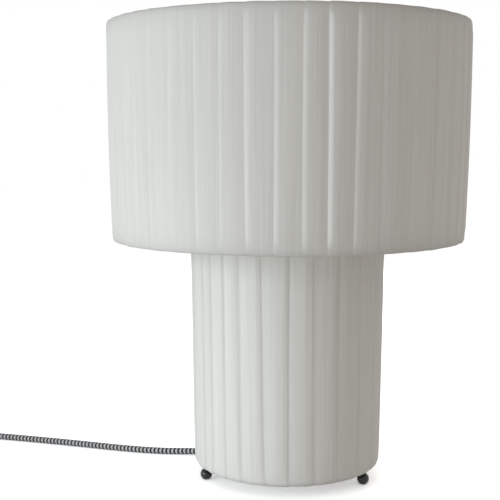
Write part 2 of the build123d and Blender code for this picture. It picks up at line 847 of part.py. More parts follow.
with BuildPart() as coil_tie:
    tie_radius = (coil_radius + coil_inner) / 2
    tie_middle = (coil_low + coil_high) / 2
    tie_inner_width = coil_radius - coil_inner + cord_diameter + 2 * tie_clearance + coil_pitch / 2
    tie_inner_height = coil_pitch + cord_diameter + 2 * tie_clearance
    tie_place = Vector(coil_center_x, coil_center_y, tie_middle) + at_angle(tie_radius, tie_angle, 0)
    tie_way = at_angle(1, tie_angle + 90, 0)
    with BuildSketch(Plane(origin=tie_place, x_dir=at_angle(1, tie_angle, 0), z_dir=tie_way)):
        RectangleRounded(
            tie_inner_width + 2 * tie_thickness, tie_inner_height + 2 * tie_thickness, cord_radius)
        RectangleRounded(
            tie_inner_width, tie_inner_height, cord_radius - tie_thickness, mode=Mode.SUBTRACT)
    extrude(amount=tie_width / 2, both=True)
export(coil_tie, "coil_tie")

# Switch on the cord: lower and upper shell, rocker on two pins, terminals, bridge and screws
switch_plane = Plane(origin=(switch_x, switch_center_y, 0))
switch_screw_places = [(switch_screw_x, switch_screw_y), (-switch_screw_x, -switch_screw_y)]
pivot_height = switch_height - rocker_pivot_drop
cord_hole = cord_diameter / 2 + cord_clearance
post_radius = switch_screw_head / 2 + switch_wall / 2
inner_width = switch_width - 2 * switch_wall
inner_length = switch_length - 2 * switch_wall
inner_corner = switch_corner - switch_wall


def cord_way():
    """Round hole along the switch for the two ends of the cord."""
    with BuildSketch(Plane(origin=(switch_x, switch_center_y, switch_split), z_dir=(0, 1, 0))) as hole:
        Circle(cord_hole)
    extrude(hole.sketch, amount=switch_length, both=True, mode=Mode.SUBTRACT)


with BuildPart() as switch_base:
    with BuildSketch(switch_plane):
        RectangleRounded(switch_width, switch_length, switch_corner)
    extrude(amount=switch_split)
    fillet(faces().sort_by(Axis.Z)[0].edges(), switch_edge)
    with BuildSketch(switch_plane.offset(switch_wall)):
        RectangleRounded(inner_width, inner_length, inner_corner)
    extrude(amount=switch_height, mode=Mode.SUBTRACT)
    with BuildSketch(switch_plane.offset(switch_wall)):
        with Locations(*switch_screw_places):
            Circle(post_radius)
    extrude(amount=switch_split - switch_wall)
    with BuildSketch(switch_plane):
        with Locations(*switch_screw_places):
            Circle(switch_screw_diameter / 2 + screw_clearance)
    extrude(amount=switch_height, mode=Mode.SUBTRACT)
    with BuildSketch(switch_plane):
        with Locations(*switch_screw_places):
            Circle(switch_screw_head / 2 + screw_clearance)
    extrude(amount=switch_wall, mode=Mode.SUBTRACT)
    cord_way()
export(switch_base, "switch_base")

window_length = rocker_length + 2 * rocker_clearance
window_width = rocker_width + 2 * rocker_clearance

with BuildPart() as switch_cover:
    with BuildSketch(switch_plane.offset(switch_split)):
        RectangleRounded(switch_width, switch_length, switch_corner)
    extrude(amount=switch_height - switch_split)
    fillet(faces().sort_by(Axis.Z)[-1].edges(), switch_edge)
    with BuildSketch(switch_plane.offset(switch_split)):
        RectangleRounded(inner_width, inner_length, inner_corner)
    extrude(amount=switch_height - switch_split - switch_wall, mode=Mode.SUBTRACT)
    with BuildSketch(switch_plane.offset(switch_height - cheek_depth)):
        with Locations(
            ((window_width + cheek_thickness) / 2, 0),
            (-(window_width + cheek_thickness) / 2, 0),
        ):
            Rectangle(cheek_thickness, window_length)
    extrude(amount=cheek_depth - switch_wall)
    with BuildSketch(switch_plane.offset(switch_split)):
        with Locations(*switch_screw_places):
            Circle(post_radius)
    extrude(amount=switch_height - switch_split - switch_wall)
    with BuildSketch(switch_plane.offset(switch_split)):
        with Locations(*switch_screw_places):
            Circle(switch_screw_diameter / 2)
    extrude(amount=switch_screw_length - switch_split + switch_wall, mode=Mode.SUBTRACT)
    with BuildSketch(switch_plane.offset(switch_split)):
        Rectangle(window_width, window_length)
    extrude(amount=switch_height, mode=Mode.SUBTRACT)
    with BuildSketch(Plane(origin=(switch_x, switch_center_y, pivot_height), z_dir=(1, 0, 0))):
        Circle(rocker_pin_diameter / 2 + rocker_pin_clearance)
    extrude(amount=window_width / 2 + rocker_pin_length, both=True, mode=Mode.SUBTRACT)
    cord_way()
export(switch_cover, "switch_cover")

with BuildPart() as switch_rocker:
    half_length = rocker_length / 2
    tilt = math.radians(rocker_tilt)
    rest_plane = Plane(
        origin=(switch_x, switch_center_y, pivot_height),
        x_dir=(0, math.cos(tilt), -math.sin(tilt)),
        z_dir=(1, 0, 0),
    )
    with BuildSketch(rest_plane):
        with BuildLine():
            ThreePointArc((-half_length, rocker_rise), (0, rocker_dip), (half_length, rocker_rise))
            Polyline(
                (half_length, rocker_rise),
                (half_length, -rocker_dip),
                (half_length / 4, -rocker_keel),
                (-half_length / 4, -rocker_keel),
                (-half_length, -rocker_dip),
                (-half_length, rocker_rise),
            )
        make_face()
    extrude(amount=rocker_width / 2, both=True)
    with BuildSketch(rest_plane):
        Circle(rocker_pin_diameter / 2)
    extrude(amount=window_width / 2 + rocker_pin_length - rocker_pin_clearance, both=True)
export(switch_rocker, "switch_rocker")

with BuildPart() as switch_terminals:
    with BuildSketch(switch_plane.offset(switch_wall)):
        with Locations((0, terminal_offset), (0, -terminal_offset)):
            Rectangle(terminal_width, terminal_length)
    extrude(amount=terminal_height - cord_diameter / 4)
    with BuildSketch(switch_plane.offset(switch_wall + terminal_height - cord_diameter / 4)):
        with Locations((terminal_width / 2 - bridge_width / 2, 0)):
            Rectangle(bridge_width, bridge_length)
    extrude(amount=bridge_thickness)
export(switch_terminals, "switch_terminals")

with BuildPart() as switch_screws:
    with BuildSketch(switch_plane):
        with Locations(*switch_screw_places):
            Circle(switch_screw_head / 2)
    extrude(amount=switch_wall)
    with BuildSketch(switch_plane):
        with Locations(*switch_screw_places):
            Circle(switch_screw_diameter / 2)
    extrude(amount=switch_screw_length)
    with BuildSketch(switch_plane):
        with Locations(*switch_screw_places):
            Rectangle(switch_screw_head * 0.7, screw_clearance * 8)
            Rectangle(screw_clearance * 8, switch_screw_head * 0.7)
    extrude(amount=switch_wall / 2, mode=Mode.SUBTRACT)
export(switch_screws, "switch_screws")

# Flat two-pin plug at the end of the cord, lying on the floor with its pins towards the front
plug_back = plug_start_y - plug_relief_length
plug_front = plug_back - plug_length
plug_center = plug_thickness / 2
half_plug = plug_width / 2
half_tail = plug_tail_width / 2
pin_places = [(pin_spacing / 2, 0), (-pin_spacing / 2, 0)]
pin_plane = Plane(origin=(plug_x, plug_front, plug_center), x_dir=(1, 0, 0), z_dir=(0, -1, 0))
relief_plane = Plane(origin=(plug_x, plug_start_y, plug_center), x_dir=(1, 0, 0), z_dir=(0, -1, 0))

with BuildPart() as plug_body:
    with BuildSketch(Plane(origin=(plug_x, plug_front, 0))):
        with BuildLine():
            Polyline(
                (-half_tail, plug_length),
                (half_tail, plug_length),
                (half_plug, plug_shoulder),
                (half_plug, 0),
                (-half_plug, 0),
                (-half_plug, plug_shoulder),
                close=True,
            )
        make_face()
        fillet(vertices().group_by(Axis.Y)[1], plug_shoulder / 2)
    extrude(amount=plug_thickness)
    fillet(faces().filter_by(Axis.Z).edges(), plug_edge)
    with BuildSketch(relief_plane):
        Circle(plug_relief_tip / 2)
    with BuildSketch(relief_plane.offset(plug_relief_length + plug_edge)):
        Circle(plug_relief_diameter / 2)
    loft()
    for groove in range(relief_grooves):
        with BuildSketch(relief_plane.offset(relief_groove_start + groove * relief_groove_pitch)):
            Circle(plug_relief_diameter)
            Circle(relief_groove_floor / 2, mode=Mode.SUBTRACT)
        extrude(amount=relief_groove_width, mode=Mode.SUBTRACT)
    with BuildSketch(relief_plane):
        Circle(cord_diameter / 2 + cord_clearance)
    extrude(amount=plug_cord_depth + layer_gap, mode=Mode.SUBTRACT)
    with BuildSketch(pin_plane):
        with Locations(*pin_places):
            Circle(pin_diameter / 2 + pin_clearance)
    extrude(amount=-pin_seat, mode=Mode.SUBTRACT)
export(plug_body, "plug_body")

with BuildPart() as plug_pins:
    with BuildSketch(pin_plane.offset(-pin_seat)):
        with Locations(*pin_places):
            Circle(pin_diameter / 2)
    extrude(amount=pin_seat + pin_length)
    fillet(faces().sort_by(Axis.Y)[:2].edges(), pin_diameter / 4)
export(plug_pins, "plug_pins")
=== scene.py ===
"""Pleated table lamp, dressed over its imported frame: cloth, wire, lampholder, bulb and braided cord.

Metres, +Z up, with the front of the lamp towards -Y.
"""
import bmesh
import bpy
import collections
import math
import random
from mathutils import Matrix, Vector, noise


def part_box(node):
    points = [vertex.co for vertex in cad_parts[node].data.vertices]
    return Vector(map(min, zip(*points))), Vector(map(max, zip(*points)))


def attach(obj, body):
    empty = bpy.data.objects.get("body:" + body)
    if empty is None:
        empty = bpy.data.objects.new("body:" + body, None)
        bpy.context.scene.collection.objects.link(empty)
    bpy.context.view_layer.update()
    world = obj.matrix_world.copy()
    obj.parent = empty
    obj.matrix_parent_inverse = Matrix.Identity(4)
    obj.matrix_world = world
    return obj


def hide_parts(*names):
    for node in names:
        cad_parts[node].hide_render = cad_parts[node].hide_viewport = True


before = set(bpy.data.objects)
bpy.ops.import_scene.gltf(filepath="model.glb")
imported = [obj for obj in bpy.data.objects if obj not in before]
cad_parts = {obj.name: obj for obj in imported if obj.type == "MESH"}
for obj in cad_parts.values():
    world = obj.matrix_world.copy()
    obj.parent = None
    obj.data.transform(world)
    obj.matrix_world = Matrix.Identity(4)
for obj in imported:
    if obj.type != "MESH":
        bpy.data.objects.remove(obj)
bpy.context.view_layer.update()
scene = bpy.context.scene
scene.view_settings.view_transform = "Standard"

# Camera: a long lens about a metre in front of the lamp, level with the middle of the shade.
# It looks slightly down, and a little to the left so that the cord has room.
camera_sensor = 36.0
camera_lens = 73.63
camera_place = (0.0, -1.0313, 0.3357)
camera_dip = 0.104
camera_turn = math.radians(2.10)

camera_data = bpy.data.cameras.new("camera")
camera_data.sensor_width = camera_sensor
camera_data.lens = camera_lens
camera = bpy.data.objects.new("camera", camera_data)
camera.location = camera_place
camera.rotation_euler = (math.pi / 2 - camera_dip, 0.0, camera_turn)
scene.collection.objects.link(camera)
scene.camera = camera

# Studio: a wide pale floor under soft light. The room's glow is a little warm, one broad cool lamp
# stands to the left, a softer one behind, and a small card near the floor lifts the base on the left.
# The camera sees floor and room as white, with the shadows kept.
room_colour = (1.0, 0.945, 0.914, 1.0)
room_strength = 0.425
room_seen_colour = (1.0, 1.0, 1.0, 1.0)
floor_reach = 6.0
floor_colour = (0.84, 0.84, 0.83, 1.0)
floor_seen_colour = (1.70, 1.74, 1.76, 1.0)
floor_glow = 0.32


class Value:
    """A socket of a node tree, so that shader maths reads as plain arithmetic."""

    def __init__(self, socket):
        self.socket = socket

    def __add__(self, other):
        return maths("ADD", self, other)

    def __sub__(self, other):
        return maths("SUBTRACT", self, other)

    def __rsub__(self, other):
        return maths("SUBTRACT", other, self)

    def __mul__(self, other):
        return maths("MULTIPLY", self, other)

    def __truediv__(self, other):
        return maths("DIVIDE", self, other)

    def __rtruediv__(self, other):
        return maths("DIVIDE", other, self)

    __radd__ = __add__
    __rmul__ = __mul__

    def span(self, low, high):
        """The same value, stretched from nought and one to low and high."""
        return self * (high - low) + low

    def beside(self, name):
        """Another output of the same node."""
        return Value(self.socket.node.outputs[name])


def maths(operation, *terms):
    """Math node on values and numbers."""
    tree = next(term.socket.id_data for term in terms if isinstance(term, Value))
    node = tree.nodes.new("ShaderNodeMath")
    node.operation = operation
    for entry, term in zip(node.inputs, terms):
        if isinstance(term, Value):
            tree.links.new(term.socket, entry)
        else:
            entry.default_value = term
    return Value(node.outputs[0])


class Finish:
    """A node tree and the one method that adds its nodes."""

    def __init__(self, tree):
        self.tree = tree

    def node(self, kind, settings=None, sockets=None, output=0):
        """Add a node, set it up, fill its sockets and give back one of its outputs."""
        node = self.tree.nodes.new(kind)
        for name, setting in (settings or {}).items():
            setattr(node, name, setting)
        self.fill(node, sockets or {})
        if node.outputs:
            return Value(node.outputs[output])

    def fill(self, node, sockets):
        """Give a node's sockets their links or plain values."""
        for name, content in sockets.items():
            if isinstance(content, Value):
                self.tree.links.new(content.socket, node.inputs[name])
            else:
                node.inputs[name].default_value = content


def seen_apart(finish, lighting, seen):
    """One shader for light, and another for what the camera sees, straight or in gloss or glass."""
    camera_ray = finish.node("ShaderNodeLightPath", output="Is Camera Ray")
    gloss_ray = camera_ray.beside("Is Glossy Ray")
    glass_ray = camera_ray.beside("Is Transmission Ray")
    share = maths("MAXIMUM", maths("MAXIMUM", camera_ray, gloss_ray), glass_ray)
    return finish.node("ShaderNodeMixShader", sockets={0: share, 1: lighting, 2: seen})


world = bpy.data.worlds.new("room")
world.use_nodes = True
world.node_tree.nodes.clear()
scene.world = world
room = Finish(world.node_tree)
room_light = room.node(
    "ShaderNodeBackground", sockets={"Color": room_colour, "Strength": room_strength})
room_white = room.node(
    "ShaderNodeBackground", sockets={"Color": room_seen_colour, "Strength": 1.0})
room.node("ShaderNodeOutputWorld", sockets={"Surface": seen_apart(room, room_light, room_white)})

floor_edit = bmesh.new()
bmesh.ops.create_grid(floor_edit, x_segments=1, y_segments=1, size=floor_reach)
floor_mesh = bpy.data.meshes.new("floor")
floor_edit.to_mesh(floor_mesh)
floor_edit.free()
floor = bpy.data.objects.new("floor", floor_mesh)
scene.collection.objects.link(floor)
floor_material = bpy.data.materials.new("pale floor")
floor_material.use_nodes = True
floor_material.node_tree.nodes.clear()
floor_finish = Finish(floor_material.node_tree)
floor_plain = floor_finish.node("ShaderNodeBsdfDiffuse", sockets={"Color": floor_colour})
floor_white = floor_finish.node("ShaderNodeBsdfDiffuse", sockets={"Color": floor_seen_colour})
floor_lift = floor_finish.node("ShaderNodeEmission", sockets={"Strength": floor_glow})
floor_seen = floor_finish.node("ShaderNodeAddShader", sockets={0: floor_white, 1: floor_lift})
floor_finish.node(
    "ShaderNodeOutputMaterial", sockets={"Surface": seen_apart(floor_finish, floor_plain, floor_seen)})
floor_mesh.materials.append(floor_material)


def soft_lamp(name, place, aim, size, power, colour):
    """Square studio lamp that shines at a point."""
    light = bpy.data.lights.new(name, "AREA")
    light.shape = "SQUARE"
    light.size = size
    light.energy = power
    light.color = colour
    lamp = bpy.data.objects.new(name, light)
    lamp.location = place
    lamp.rotation_euler = (Vector(aim) - Vector(place)).to_track_quat("-Z", "Y").to_euler()
    scene.collection.objects.link(lamp)


soft_lamp(
    "left_lamp", place=(-1.75, -1.05, 0.32), aim=(0.0, 0.0, 0.22), size=1.2, power=22.7,
    colour=(0.82, 0.93, 1.0))
soft_lamp(
    "back_lamp", place=(0.45, 1.70, 0.75), aim=(0.0, 0.0, 0.25), size=1.0, power=10.0,
    colour=(1.0, 0.97, 0.93))
soft_lamp(
    "low_card", place=(-0.24, -0.29, 0.04), aim=(-0.02, 0.0, 0.06), size=0.14, power=0.19,
    colour=(0.90, 0.97, 1.0))

# Wire frames: rings, uprights and spiders of welded steel wire under white powder coat.
# The coat is slightly pebbled, and its tone drifts a little where it has pooled.
coat_colour = (0.82, 0.82, 0.80, 1.0)
pooled_colour = (0.78, 0.78, 0.75, 1.0)
coat_pebble = 1100.0
coat_pooling = 60.0
coat_relief = 0.00012


class Surface(Finish):
    """A material with one Principled shader, whose fixed numbers are set on the shader itself."""

    def __init__(self, name, constants):
        self.material = bpy.data.materials.new(name)
        self.material.use_nodes = True
        super().__init__(self.material.node_tree)
        self.shader = self.tree.nodes["Principled BSDF"]
        self.feed(constants)

    def feed(self, sockets):
        """Give the shader plain values, or what changes over the surface."""
        self.fill(self.shader, sockets)

    def place(self):
        """Where a point of the surface is."""
        return self.node("ShaderNodeTexCoord", output="Object")

    def laid_flat(self):
        """Where a point is on the surface laid out flat."""
        return self.node("ShaderNodeUVMap", {"uv_map": "surface"})

    def mark(self, name):
        """Value that the mesh carries under a name."""
        return self.node("ShaderNodeAttribute", {"attribute_name": name}, output="Fac")

    def split(self, vector):
        """The x, y and z of a vector."""
        first = self.node("ShaderNodeSeparateXYZ", sockets={"Vector": vector}, output="X")
        return [first, first.beside("Y"), first.beside("Z")]

    def grain(self, scale, detail=2.0, vector=None):
        """Smooth random value between nought and one."""
        return self.node("ShaderNodeTexNoise", sockets={
            "Vector": vector or self.place(), "Scale": scale, "Detail": detail})

    def between(self, share, first, second):
        """Colour between two colours."""
        return self.node(
            "ShaderNodeMix", {"data_type": "RGBA"}, {0: share, 6: first, 7: second}, output=2)

    def relief(self, height, depth):
        """Small relief of the surface, in metres."""
        self.feed({"Normal": self.node(
            "ShaderNodeBump", sockets={"Height": height, "Distance": depth, "Strength": 1.0})})


def dress(surface, *nodes):
    """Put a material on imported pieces."""
    for node in nodes:
        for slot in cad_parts[node].material_slots:
            slot.material = surface.material


white_coat = Surface("white powder coat", {"IOR": 1.5})
pebble = white_coat.grain(coat_pebble)
white_coat.relief(pebble, coat_relief)
white_coat.feed({
    "Base Color": white_coat.between(white_coat.grain(coat_pooling), coat_colour, pooled_colour),
    "Roughness": pebble.span(0.32, 0.52),
})
dress(
    white_coat, "base_bottom_ring", "base_top_ring", "base_uprights", "base_spider",
    "shade_top_ring", "shade_bottom_ring", "shade_spider")

# Ball feet: turned balls under glossy black lacquer, pressed on plated studs below the bottom ring.
# The lacquer is scuffed dull round the small flat that stands on the table.
lacquer_colour = (0.012, 0.012, 0.013, 1.0)
scuff_height = 0.0016
scuff_ragged = 0.0012
scuff_dull = 0.4

black_lacquer = Surface("black lacquer", {
    "Base Color": lacquer_colour, "Specular IOR Level": 0.3,
    "Coat Weight": 0.2, "Coat Roughness": 0.05})
height_over_table = black_lacquer.split(black_lacquer.place())[2]
scuff_edge = height_over_table + black_lacquer.grain(900.0) * scuff_ragged
scuff = maths("LESS_THAN", scuff_edge, scuff_height)
black_lacquer.feed({"Roughness": scuff * scuff_dull + black_lacquer.grain(400.0).span(0.1, 0.22)})
dress(black_lacquer, "ball_foot_left", "ball_foot_right", "ball_foot_rear")


def mottled(name, constants, scale, colours, roughness, detail=2.0):
    """Finish that drifts between two colours, with a roughness for each."""
    surface = Surface(name, constants)
    drift = surface.grain(scale, detail)
    surface.feed({
        "Base Color": surface.between(drift, *colours),
        "Roughness": drift.span(*roughness),
    })
    return surface


zinc_plate = mottled(
    "bright zinc plate", {"Metallic": 1.0}, scale=350.0,
    colours=[(0.66, 0.67, 0.69, 1.0), (0.52, 0.53, 0.56, 1.0)], roughness=(0.2, 0.45))
dress(zinc_plate, "foot_studs")

# Linings: stiff white film rolled into tubes inside the cloth, between the two rings.
# The film is milky, with a faint pressed grain, and is doubled where its ends lap at the back.
lap_angle = math.radians(97.0)
lap_half = math.radians(3.4)
lap_relief = 3.0
lap_tone = 0.2
lap_colour = (0.66, 0.65, 0.61, 1.0)
film_relief = 0.00006

milky_film = Surface("milky lining film", {"Specular IOR Level": 0.35})
film_cloud = milky_film.grain(25.0)
film_grain = milky_film.grain(1500.0, 1.0)
film_side, film_depth = milky_film.split(milky_film.place())[:2]
film_angle = maths("ARCTAN2", film_depth, film_side)
film_lap = maths("LESS_THAN", maths("ABSOLUTE", film_angle - lap_angle), lap_half)
milky_film.relief(film_grain + film_lap * lap_relief, film_relief)
film_colour = milky_film.between(film_cloud, (0.86, 0.85, 0.82, 1.0), (0.82, 0.81, 0.77, 1.0))
milky_film.feed({
    "Base Color": milky_film.between(film_lap * lap_tone, film_colour, lap_colour),
    "Roughness": film_grain.span(0.45, 0.65),
})
dress(milky_film, "base_lining", "shade_lining")

# Base cover: ivory cloth laid in knife pleats round the base drum, each fold lapping the next from
# its right. It is drawn over both rings, where its folds ease out, and its hems are glued inside.
ring_wire = 0.003

# A drum has its rings as (radius, height), how far its cloth bows out and sags, how squarely it turns
# over a ring, how its folds ease out there, and how strong the painted shade along its hems is, as a
# dark line and a soft band. A station is one level of the cloth, from hem to hem.
Drum = collections.namedtuple(
    "Drum", "low_ring high_ring bow sag square ease crown_share line_tone shade_tone")
Fold = collections.namedtuple("Fold", "height nose lip fall gutter slant")
Station = collections.namedtuple("Station", "radius height out up lift rise")


def ring_of(node):
    """Radius and height of the middle of a ring's wire."""
    low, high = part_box(node)
    return (high.x - ring_wire, (low.z + high.z) / 2)


base_drum = Drum(
    low_ring=ring_of("base_bottom_ring"), high_ring=ring_of("base_top_ring"), bow=0.0, sag=0.0013,
    square=1.0, ease=0.009, crown_share=0.35, line_tone=0.21, shade_tone=0.06)
base_fold = Fold(height=0.00125, nose=0.0075, lip=0.10, fall=0.45, gutter=1.0, slant=-0.0032)
base_front_folds = [-59.8, -50.6, -40.0, -28.6, -14.5, 0.3, 14.6, 29.9, 45.8, 61.7]
base_odd_folds = {
    14.6: {"rise": 0.72, "plump": 1.2, "swell": 0.0, "fall": 0.55},
    29.9: {"rise": 0.40, "plump": 1.0},
    45.8: {"rise": 0.45, "plump": 1.0},
    61.7: {"rise": 0.50, "plump": 1.0},
}
base_pleat_count = 24
front_angle = math.radians(270.0)

# How the cloth lies over a ring and down the wall: lifts from the wire's middle, and mesh steps.
trough_lift = 0.0058
crown_lift = 0.0054
hem_lift = 0.0039
hem_share = 0.55
pulled_share = 0.7
hem_angle = 130.0
hem_steps = 12
wall_steps = 30
cloth_thickness = 0.0003

# How one fold is drawn, and how far the folds differ from one another.
edge_gap = 0.0001
face_stop = 0.9
face_parts = [0.14, 0.30, 0.46, 0.62, 0.74, 0.84, 0.93, 1.0]
nose_steps = 6
gutter_width = 0.0030
height_drift = 0.15
drift_pace = 4.0
ripple_round = 14
ripple_down = 3
ripple_height = 0.00022
habit_spans = {
    "lean": (-0.0010, 0.0010), "sway": (0.0003, 0.0008), "pace": (2.0, 5.0), "phase": (0.0, 6.28),
    "rise": (0.70, 1.25), "plump": (0.75, 1.35), "swell": (0.05, 0.30),
}
fall_span = (0.65, 1.30)

# How the cloth is coloured and woven, and its painted shade, darker in the creases and along the hems.
cloth_dark = (0.70, 0.69, 0.645, 1.0)
cloth_light = (0.89, 0.88, 0.840, 1.0)
painted_shade_colour = (0.42, 0.41, 0.385, 1.0)
crease_shade_width = 0.0020
painted_line_width = 0.0015
painted_band_width = 0.009
slub_scale = (700.0, 9.0, 1.0)
streak_scale = (260.0, 4.0, 1.0)
weave_pace = 9000.0
cloth_relief = 0.00025
seam_gap = 1e-7


def all_folds(front_folds, count):
    """Angles of every fold from the front of the drum: the placed ones, then the rest in even steps."""
    gap = 360.0 - (front_folds[-1] - front_folds[0])
    spare = count - len(front_folds) + 1
    return front_folds + [front_folds[-1] + gap * step / spare for step in range(1, spare)]


def soft_fold(nose, lip):
    """How the cloth rounds off into a groove: distance past its edge and share of its height."""
    outline = [(edge_gap, 0.0)]
    for step in range(1, nose_steps + 1):
        rounded = math.sin(math.pi / 2 * step / nose_steps)
        outline.append((nose * step / nose_steps, lip + (1 - lip) * rounded))
    return outline


def wall_line(drum, fold_height):
    """Stations down the cloth: middle it turns about, way out, lift in the troughs and fold height."""
    stations = []
    for step in range(hem_steps):
        angle = math.radians(hem_angle * (1 - step / hem_steps))
        over = min(1.0, angle / (math.pi / 2))
        inside = max(0.0, (math.degrees(angle) - 90.0) / (hem_angle - 90.0))
        rise = fold_height * drum.crown_share * (1 + (hem_share - 1) * inside)
        lift = trough_lift + (crown_lift - trough_lift) * over + (hem_lift - crown_lift) * inside
        lift += (fold_height - rise) * pulled_share * (1 - over)
        out = math.copysign(abs(math.cos(angle)) ** drum.square, math.cos(angle))
        up = math.sin(angle) ** drum.square
        stations.append(Station(*drum.high_ring, out, up, lift, rise))
    top_hem = stations[:]
    high, low = drum.high_ring, drum.low_ring
    for step in range(wall_steps + 1):
        share = (1 - math.cos(math.pi * step / wall_steps)) / 2
        radius = high[0] + (low[0] - high[0]) * share + drum.bow * math.sin(math.pi * share)
        height = high[1] + (low[1] - high[1]) * share
        free = min(1.0, min(high[1] - height, height - low[1]) / drum.ease)
        rise = fold_height * (drum.crown_share + (1 - drum.crown_share) * free * free * (3 - 2 * free))
        lift = trough_lift + (fold_height - rise) * pulled_share
        stations.append(Station(radius, height, 1.0, 0.0, lift, rise))
    for edge in reversed(top_hem):
        stations.append(Station(*low, edge.out, -edge.up, edge.lift + drum.sag * edge.up, edge.rise))
    return stations


def stray(fold, habit, share):
    """How far a fold strays sideways at a share of its way down."""
    sway = habit["sway"] * math.sin(habit["pace"] * share + habit["phase"])
    return fold.slant * share + habit["lean"] * (share - 0.5) * 2 + sway


def tallness(habit, share, rise):
    """Height of one fold at a share of its way down."""
    return rise * habit["rise"] * (1 + height_drift * math.sin(drift_pace * share + habit["phase"]))


def cloth_section(fold, habits, station, share):
    """Angle, lift and painted crease shade of every column of the cloth at one station."""
    count = len(habits)
    fold_turn = soft_fold(fold.nose, fold.lip)
    reach = station.radius + station.lift
    points = []
    for index, habit in enumerate(habits):
        before = habits[index - 1]
        following = habits[(index + 1) % count]
        turn = 2 * math.pi if index == count - 1 else 0.0
        start = habit["angle"] + stray(fold, habit, share) / reach
        end = following["angle"] + turn + stray(fold, following, share) / reach
        tall = tallness(habit, share, station.rise)
        foot = tallness(before, share, station.rise) * (1 - before["fall"]) * (1 - fold.gutter)
        for past, level in fold_turn:
            crease = math.exp(-((past / crease_shade_width) ** 2)) * min(1.0, habit["rise"])
            raised = station.lift + foot + (tall - foot) * level
            points.append((start + past * habit["plump"] / reach, raised, crease))
        first = points[-1][0]
        last = end + edge_gap * face_stop * following["plump"] / reach
        for part in face_parts:
            left = (last - first) * (1 - part) * reach
            level = 1 - habit["fall"] * part + habit["swell"] * math.sin(math.pi * part)
            level *= 1 - fold.gutter * math.exp(-left / gutter_width)
            crease = math.exp(-((left / crease_shade_width) ** 2)) * min(1.0, following["rise"])
            points.append((first + (last - first) * part, station.lift + tall * level, crease))
    angle, raised, crease = points[0]
    points.append((angle + 2 * math.pi, raised, crease))
    return points


def hem_painted_shades(drum, stations):
    """Painted shade at each station: how much darker the cloth is drawn, the nearer it lies to an edge.
    """
    top = drum.high_ring[1] + crown_lift
    bottom = drum.low_ring[1] - crown_lift
    tones = []
    for station in stations:
        level = station.height + station.up * station.lift
        edge = max(0.0, min(top - level, level - bottom))
        line = drum.line_tone * math.exp(-edge / painted_line_width)
        tones.append(line + drum.shade_tone * math.exp(-edge / painted_band_width))
    return tones


def lengths_along(points):
    """Length from the first point to each point in turn."""
    lengths = [0.0]
    for before, after in zip(points, points[1:]):
        lengths.append(lengths[-1] + (Vector(after) - Vector(before)).length)
    return lengths


def soft_grid(across, along, place, marks):
    """Grid with each corner put in place and marked, its lengths as UV map, and its seam closed."""
    columns = len(across) - 1
    rows = len(along) - 1
    edit = bmesh.new()
    bmesh.ops.create_grid(edit, x_segments=columns, y_segments=rows, size=1.0)
    layers = {name: edit.verts.layers.float.new(name) for name in marks}
    surface_map = edit.loops.layers.uv.new("surface")
    spots = {}
    for corner in edit.verts:
        spots[corner] = (round((corner.co.x + 1) / 2 * columns), round((corner.co.y + 1) / 2 * rows))
    for face in edit.faces:
        for loop in face.loops:
            column, row = spots[loop.vert]
            loop[surface_map].uv = (across[column], along[row])
    for corner, (column, row) in spots.items():
        corner.co = place(column, row)
        for name, mark in marks.items():
            corner[layers[name]] = mark(column, row)
    bmesh.ops.remove_doubles(edit, verts=edit.verts, dist=seam_gap)
    bmesh.ops.recalc_face_normals(edit, faces=edit.faces)
    return edit


def new_piece(name, edit, surface, body):
    """Finished piece from an edited mesh, shaded smooth, that rides on a body."""
    for face in edit.faces:
        face.smooth = True
    mesh = bpy.data.meshes.new(name)
    edit.to_mesh(mesh)
    edit.free()
    mesh.materials.append(surface.material)
    piece = bpy.data.objects.new(name, mesh)
    scene.collection.objects.link(piece)
    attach(piece, body)
    return piece


def pleated_cloth(drum, fold, front_folds, odd_folds, count, way, seed):
    """Cloth of one drum. A way of 1 lays each fold to the left, and -1 to the right."""
    chance = random.Random(seed)
    folds = sorted(way * angle for angle in all_folds(front_folds, count))
    habits = []
    for angle in folds:
        habit = {trait: chance.uniform(*span) for trait, span in habit_spans.items()}
        habits.append({"angle": math.radians(angle), **habit})
    for habit in habits:
        habit["fall"] = fold.fall * chance.uniform(*fall_span)
    for angle, habit in odd_folds.items():
        habits[folds.index(way * angle)].update(habit)
    stations = wall_line(drum, fold.height)
    rows = len(stations) - 1
    sections = []
    for row, station in enumerate(stations):
        sections.append(cloth_section(fold, habits, station, row / rows))
    columns = len(sections[0]) - 1
    tones = hem_painted_shades(drum, stations)

    def place(column, row):
        """Where one corner of the cloth lies."""
        station = stations[row]
        angle, raised = sections[row][column][:2]
        spot = Vector((
            math.cos(angle) * ripple_round, math.sin(angle) * ripple_round, row / rows * ripple_down))
        lifted = raised + noise.noise(spot) * ripple_height
        turn = front_angle + way * angle
        reach = station.radius + station.out * lifted
        return (reach * math.cos(turn), reach * math.sin(turn), station.height + station.up * lifted)

    across = lengths_along([place(column, rows // 2) for column in range(columns + 1)])
    along = lengths_along([place(0, row) for row in range(rows + 1)])
    print("cloth as laid out flat, m:", round(across[-1], 3), round(along[-1], 3))
    # The marks carry painted shade: darker in the grooves between folds and along the hems.
    return soft_grid(across, along, place, marks={
        "crease": lambda column, row: sections[rows][column][2],
        "hem": lambda column, row: tones[row],
    })


